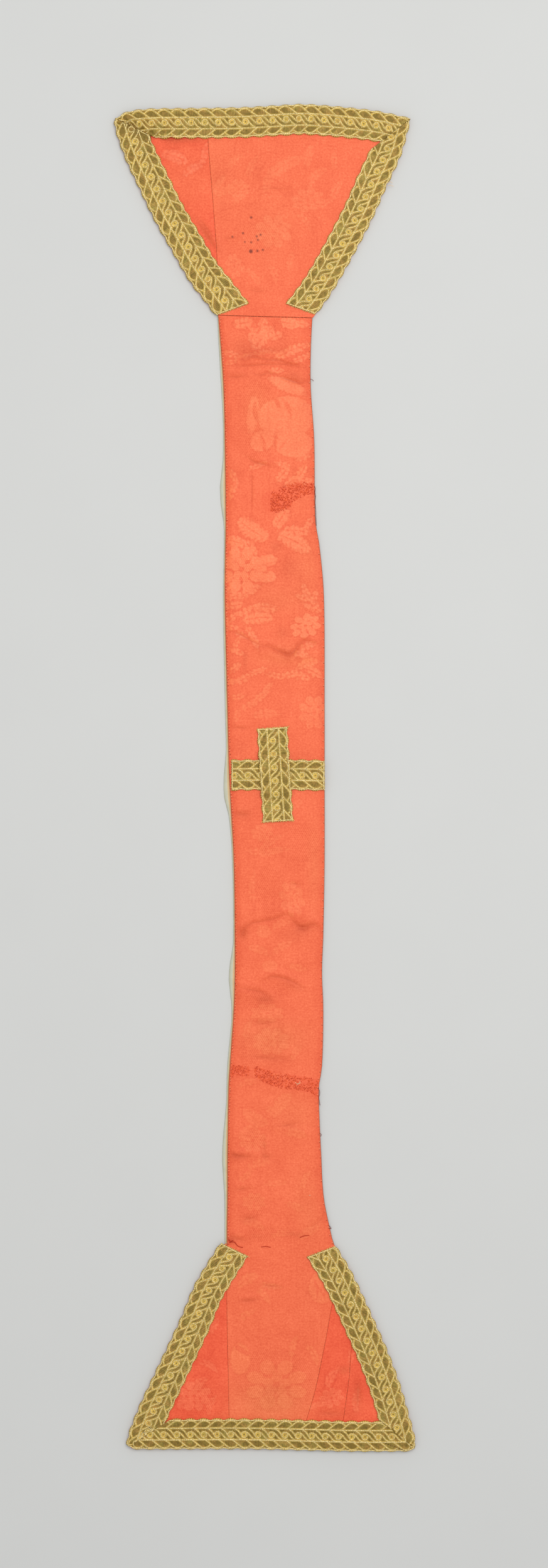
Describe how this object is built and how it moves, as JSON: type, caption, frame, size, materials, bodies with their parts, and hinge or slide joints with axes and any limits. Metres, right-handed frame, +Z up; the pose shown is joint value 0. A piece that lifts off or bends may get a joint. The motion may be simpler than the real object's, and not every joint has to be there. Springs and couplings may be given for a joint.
{
  "type": "maniple-length clerical stole",
  "caption": "Narrow coral silk damask vestment band laid flat, flared at both ends, edged with gold galloon and marked with a galloon cross in the middle.",
  "frame": {"origin": "middle of the stole's length and width, on the surface it lies on", "axes": "+X to the right across the stole, +Y along it towards the upper end, +Z up off the surface"},
  "size_m": [0.2115, 0.9451, 0.006],
  "materials": {
    "silk": "coral red silk damask, satin figure on a ribbed ground",
    "lining": "pale cream silk lining",
    "galloon": "gold metal-thread galloon with raised pale gold gimp"
  },
  "bodies": {
    "root": {"lining": "lining", "upper_end_panel": "silk", "upper_end_gore": "silk", "upper_band": "silk", "lower_band": "silk", "lower_left_gore": "silk", "lower_right_gore_inner": "silk", "lower_right_gore_outer": "silk", "galloon_upper_left": "galloon", "galloon_upper_top": "galloon", "galloon_upper_right": "galloon", "galloon_lower_left": "galloon", "galloon_lower_bottom": "galloon", "galloon_lower_right": "galloon", "cross_arm": "galloon", "cross_upright": "galloon"}
  },
  "joints": []
}
